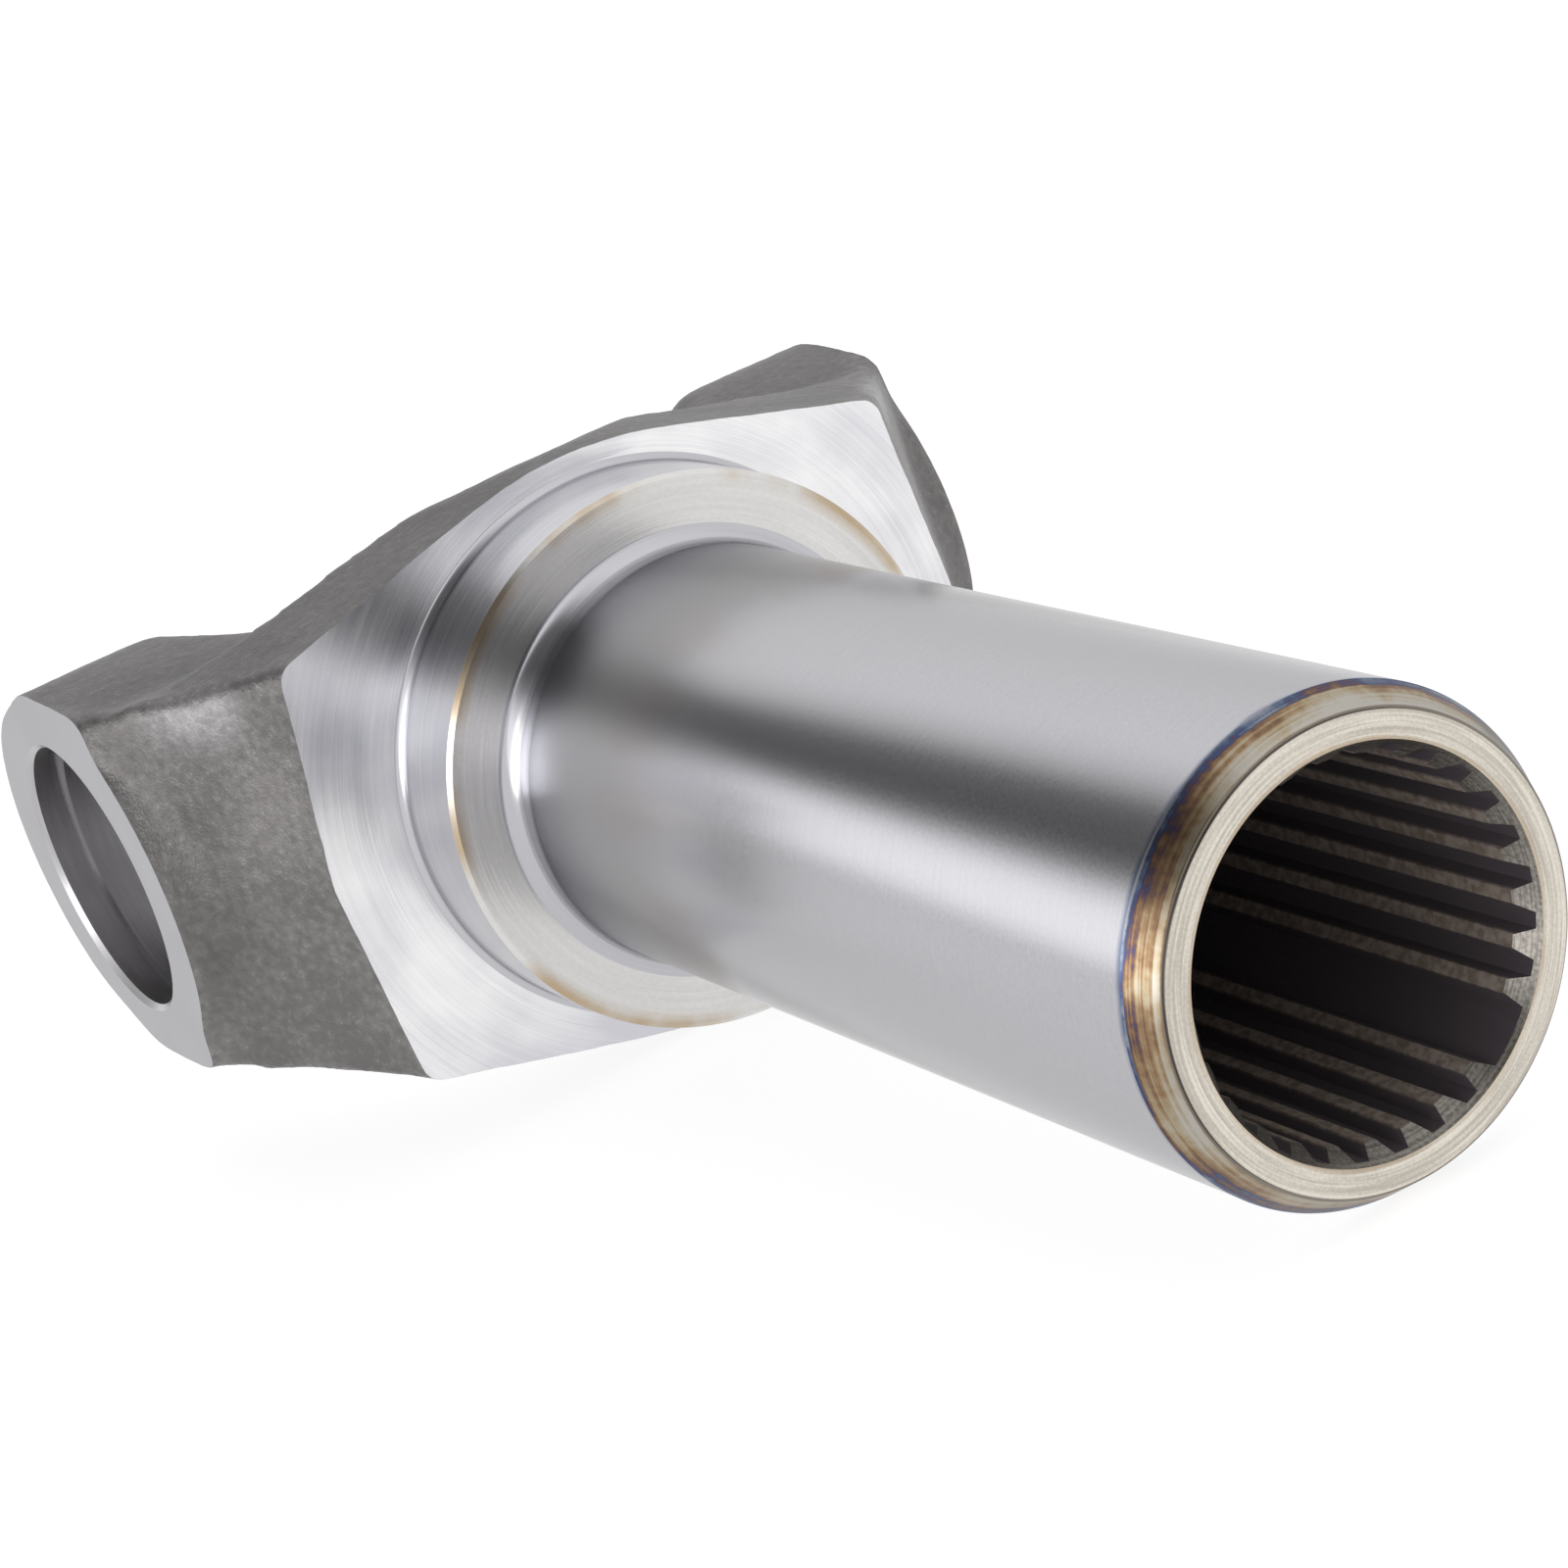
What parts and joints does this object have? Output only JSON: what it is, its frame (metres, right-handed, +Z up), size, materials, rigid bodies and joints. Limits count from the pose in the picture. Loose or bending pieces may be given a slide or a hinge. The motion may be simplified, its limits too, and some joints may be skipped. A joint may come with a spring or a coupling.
{
  "type": "forged yoke",
  "caption": "Forged steel slip yoke: two bored ears on a drafted head, a turned boss, and a ground barrel with an internally splined bore closed by a pressed plug.",
  "frame": {"origin": "where the barrel axis crosses the axis of the cross bores", "axes": "+X along the barrel to its open splined end, +Y along the cross bores, +Z up, square to the flat tops of the ears"},
  "size_m": [0.1621, 0.089, 0.0558],
  "materials": {
    "forged_steel": "turned and ground faces bright satin, forged skin dull dark grey and grainy, end chamfer heat tinted",
    "plug_steel": "plain pressed sheet steel"
  },
  "bodies": {
    "root": {"yoke": "forged_steel", "plug": "plug_steel"}
  },
  "joints": []
}
